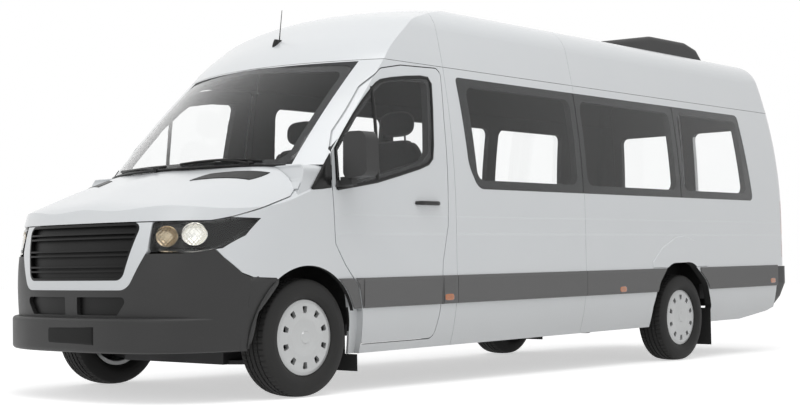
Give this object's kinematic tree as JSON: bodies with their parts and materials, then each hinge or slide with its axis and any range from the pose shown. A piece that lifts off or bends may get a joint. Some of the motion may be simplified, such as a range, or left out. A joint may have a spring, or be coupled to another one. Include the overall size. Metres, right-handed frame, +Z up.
{
  "type": "minibus",
  "caption": "Long high-roof minibus with glazed sides, opening cab doors, rear doors and bonnet, steered front wheels and a hollow cabin.",
  "frame": {"origin": "on the ground, at the middle of the overall length and of the overall width with the mirror; the vehicle's centre plane is at x = -0.1195 m", "axes": "+X towards the driver's side (left-hand drive), -Y the front, +Z up"},
  "size_m": [2.2591, 7.364, 2.7236],
  "materials": {
    "black_gloss": "gloss",
    "cast_iron": "matte",
    "chassis_steel": "matte",
    "dark_plastic": "satin",
    "exhaust_steel": "satin",
    "lamp_clear": "gloss",
    "lamp_red": "gloss",
    "rubber": "matte",
    "seat_fabric": "woven",
    "strip_plastic": "satin",
    "tank_plastic": "matte",
    "tinted_glass": "gloss",
    "tyre": "matte",
    "wheel_silver": "satin",
    "white_paint": "gloss"
  },
  "bodies": {
    "body": {"body_side_left": "white_paint", "body_side_right": "white_paint", "cab_floor": "chassis_steel", "cab_frame": "white_paint", "cab_seats": "seat_fabric", "chassis_frame": "chassis_steel", "dashboard": "dark_plastic", "engine_block": "cast_iron", "exhaust": "exhaust_steel", "floor": "chassis_steel", "front_axle": "chassis_steel", "front_bumper": "dark_plastic", "front_fenders": "white_paint", "fuel_tank": "tank_plastic", "grille": "black_gloss", "grille_surround": "white_paint", "headlamps": "lamp_clear", "intake_grille": "black_gloss", "mudflaps": "rubber", "rear_axle": "chassis_steel", "rear_bumper": "dark_plastic", "roof_air_unit": "dark_plastic", "roof_cap": "white_paint", "roof_panel": "white_paint", "side_glass": "tinted_glass", "side_strips": "strip_plastic", "sliding_door": "white_paint", "steering_column": "dark_plastic", "tail_lamps": "lamp_red", "windscreen": "tinted_glass"},
    "door_left": {"front_door_left": "white_paint", "door_glass_left": "tinted_glass", "door_strip_left": "strip_plastic", "mirror_left": "dark_plastic"},
    "door_right": {"front_door_right": "white_paint", "door_glass_right": "tinted_glass", "door_strip_right": "strip_plastic"},
    "rear_door_left": {"rear_door_left": "white_paint", "rear_glass_left": "tinted_glass"},
    "rear_door_right": {"rear_door_right": "white_paint", "rear_glass_right": "tinted_glass"},
    "bonnet": {"bonnet": "white_paint"},
    "knuckle_left": {"knuckle_left": "chassis_steel"},
    "knuckle_right": {"knuckle_right": "chassis_steel"},
    "wheel_front_left": {"tyre_front_left": "tyre", "rim_front_left": "wheel_silver"},
    "wheel_front_right": {"tyre_front_right": "tyre", "rim_front_right": "wheel_silver"},
    "wheel_rear_left": {"tyre_rear_left": "tyre", "rim_rear_left": "wheel_silver"},
    "wheel_rear_right": {"tyre_rear_right": "tyre", "rim_rear_right": "wheel_silver"},
    "steering_wheel": {"steering_wheel": "dark_plastic"}
  },
  "joints": [
    {"name": "front_door_left_hinge", "type": "hinge", "parent": "body", "child": "door_left", "pos_m": [0.8835, -2.46725, 1.16413], "axis": [0, 0.0146, -0.9999], "range_deg": [0, 70]},
    {"name": "front_door_right_hinge", "type": "hinge", "parent": "body", "child": "door_right", "pos_m": [-1.1225, -2.46725, 1.16413], "axis": [0, -0.0146, 0.9999], "range_deg": [0, 70]},
    {"name": "rear_door_left_hinge", "type": "hinge", "parent": "body", "child": "rear_door_left", "pos_m": [0.6725, 3.4942, 1.45114], "axis": [0, 0.0146, -0.9999], "range_deg": [0, 180]},
    {"name": "rear_door_right_hinge", "type": "hinge", "parent": "body", "child": "rear_door_right", "pos_m": [-0.9115, 3.4942, 1.45114], "axis": [0, -0.0146, 0.9999], "range_deg": [0, 180]},
    {"name": "bonnet_hinge", "type": "hinge", "parent": "body", "child": "bonnet", "pos_m": [-0.1195, -2.72014, 1.36046], "axis": [-1, 0, 0], "range_deg": [0, 50]},
    {"name": "steering_left", "type": "hinge", "parent": "body", "child": "knuckle_left", "pos_m": [0.6655, -2.6795, 0.215], "axis": [-0.2059, 0, 0.9786], "range_deg": [-36, 36]},
    {"name": "steering_right", "type": "hinge", "parent": "body", "child": "knuckle_right", "pos_m": [-0.9045, -2.6795, 0.215], "axis": [0.2059, 0, 0.9786], "range_deg": [-36, 36]},
    {"name": "steering_wheel_turn", "type": "hinge", "parent": "body", "child": "steering_wheel", "pos_m": [0.3105, -1.94716, 1.16171], "axis": [0, 0.6041, 0.7969], "range_deg": [-480, 480]},
    {"name": "wheel_front_left_spin", "type": "hinge", "parent": "knuckle_left", "child": "wheel_front_left", "pos_m": [0.7355, -2.6795, 0.345], "axis": [1, 0, 0], "continuous": true},
    {"name": "wheel_front_right_spin", "type": "hinge", "parent": "knuckle_right", "child": "wheel_front_right", "pos_m": [-0.9745, -2.6795, 0.345], "axis": [1, 0, 0], "continuous": true},
    {"name": "wheel_rear_left_spin", "type": "hinge", "parent": "body", "child": "wheel_rear_left", "pos_m": [0.7355, 1.6455, 0.345], "axis": [1, 0, 0], "continuous": true},
    {"name": "wheel_rear_right_spin", "type": "hinge", "parent": "body", "child": "wheel_rear_right", "pos_m": [-0.9745, 1.6455, 0.345], "axis": [1, 0, 0], "continuous": true}
  ],
  "couplings": [
    {"joint": "steering_right", "follows": "steering_left", "ratio": 1},
    {"joint": "steering_wheel_turn", "follows": "steering_left", "ratio": 13}
  ]
}
